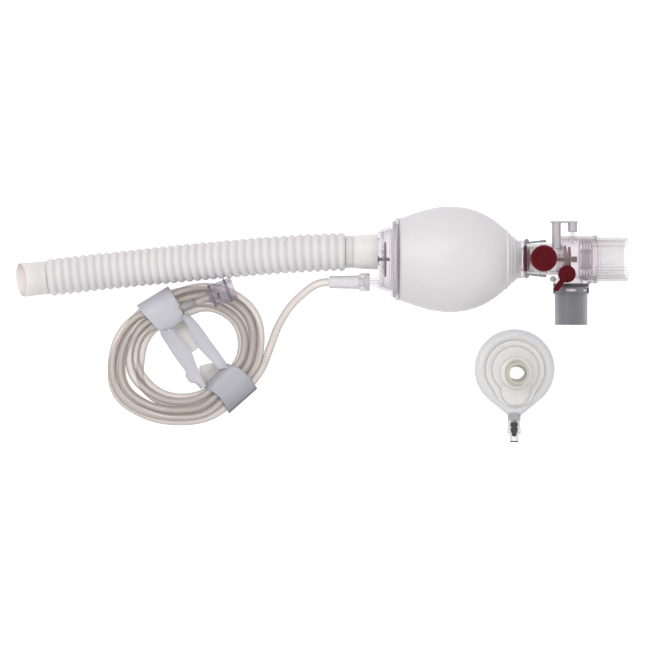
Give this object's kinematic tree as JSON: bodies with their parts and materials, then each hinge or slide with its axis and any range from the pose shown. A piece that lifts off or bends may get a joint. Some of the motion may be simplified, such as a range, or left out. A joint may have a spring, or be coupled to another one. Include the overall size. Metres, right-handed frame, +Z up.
{
  "type": "bag valve mask",
  "caption": "Infant manual resuscitator: squeeze bag, corrugated oxygen reservoir, swivel patient valve with relief cap, coiled oxygen tubing and a separate round face mask.",
  "frame": {"origin": "on the table, at the middle of the layout's footprint without the oxygen tubing", "axes": "+X from the reservoir's open end to the expiratory port, +Y away from the mask, +Z up from the table"},
  "size_m": [0.4142, 0.161, 0.0714],
  "materials": {
    "bag_silicone": "translucent satin silicone",
    "clear_plastic": "clear, lavender at the edges",
    "reservoir_plastic": "soft milky plastic",
    "cuff_plastic": "soft milky plastic",
    "adapter_plastic": "milky, slightly warm",
    "red_plastic": "crimson, semi-gloss",
    "red_rubber": "dark red, satin",
    "tubing_vinyl": "clear soft vinyl, beige where it is bundled",
    "tie_film": "white film, matt",
    "source_plastic": "clear, lavender tint",
    "grey_plastic": "mid grey, satin",
    "pale_grey_plastic": "pale grey, translucent",
    "seal_rubber": "dark grey",
    "poppet_rubber": "milky",
    "spring_steel": "bright wire",
    "dome_plastic": "clear, faintly ivory",
    "cushion_vinyl": "translucent soft vinyl",
    "core_rubber": "dark green grey"
  },
  "bodies": {
    "root": {"squeeze_bag": "bag_silicone", "inlet_collar": "clear_plastic", "inlet_housing": "clear_plastic", "inlet_valve_seat": "clear_plastic", "reservoir_adapter": "adapter_plastic", "reservoir_inlet_cuff": "cuff_plastic", "reservoir_tube": "reservoir_plastic", "reservoir_open_cuff": "cuff_plastic", "oxygen_nut": "clear_plastic", "oxygen_sleeve": "clear_plastic", "oxygen_tube": "tubing_vinyl", "oxygen_coil": "tubing_vinyl", "coil_tie": "tie_film", "source_connector": "source_plastic", "neck_connector": "clear_plastic", "neck_washer": "red_rubber"},
    "inlet_flap": {"inlet_valve_flap": "red_rubber"},
    "patient_valve": {"valve_housing": "clear_plastic", "shutter_guide": "clear_plastic", "exhaust_baffle": "clear_plastic", "expiratory_port": "clear_plastic", "relief_tower": "clear_plastic", "relief_spring": "spring_steel", "connector_seal": "seal_rubber"},
    "shutter": {"shutter_valve": "red_rubber"},
    "relief_valve": {"relief_poppet": "poppet_rubber", "relief_cap": "red_plastic"},
    "clip": {"override_clip": "grey_plastic"},
    "pressure_cap": {"manometer_cap": "red_plastic"},
    "sampling_cap": {"port_cap": "pale_grey_plastic"},
    "mask_swivel": {"patient_connector": "grey_plastic"},
    "mask": {"mask_dome": "dome_plastic", "mask_cushion": "cushion_vinyl", "mask_connector": "dome_plastic", "inflation_valve_body": "clear_plastic", "inflation_valve_spring": "spring_steel", "inflation_valve_tip": "clear_plastic"},
    "inflation_core": {"inflation_valve_core": "core_rubber"}
  },
  "joints": [
    {"name": "valve_swivel", "type": "hinge", "parent": "root", "child": "patient_valve", "pos_m": [0.1352, 0.0448, 0.0357], "axis": [1, 0, 0], "continuous": true},
    {"name": "inlet_flap_slide", "type": "slide", "parent": "root", "child": "inlet_flap", "axis": [1, 0, 0], "range_m": [0, 0.0015], "stiffness_N_per_m": 5},
    {"name": "shutter_slide", "type": "slide", "parent": "patient_valve", "child": "shutter", "axis": [1, 0, 0], "range_m": [0, 0.0015], "stiffness_N_per_m": 5},
    {"name": "relief_lift", "type": "slide", "parent": "patient_valve", "child": "relief_valve", "axis": [0, 0, 1], "range_m": [0, 0.0012], "stiffness_N_per_m": 400, "springref_m": -0.002, "deforming": ["relief_spring"]},
    {"name": "clip_hinge", "type": "hinge", "parent": "patient_valve", "child": "clip", "pos_m": [0.1491, 0.0448, 0.0533], "axis": [0, 1, 0], "range_deg": [0, 90]},
    {"name": "pressure_cap_pull", "type": "slide", "parent": "patient_valve", "child": "pressure_cap", "axis": [0, 0, 1], "range_m": [0, 0.008]},
    {"name": "sampling_cap_pull", "type": "slide", "parent": "patient_valve", "child": "sampling_cap", "axis": [0, 1, 0], "range_m": [0, 0.01]},
    {"name": "connector_swivel", "type": "hinge", "parent": "patient_valve", "child": "mask_swivel", "pos_m": [0.1697, 0.0148, 0.0357], "axis": [0, -1, 0], "continuous": true},
    {"name": "mask_lift", "type": "slide", "parent": "root", "child": "mask", "axis": [0, 0, 1], "range_m": [0, 0.15]},
    {"name": "inflation_core_push", "type": "slide", "parent": "mask", "child": "inflation_core", "axis": [0, 1, 0], "range_m": [0, 0.0015], "stiffness_N_per_m": 200, "springref_m": -0.001}
  ]
}
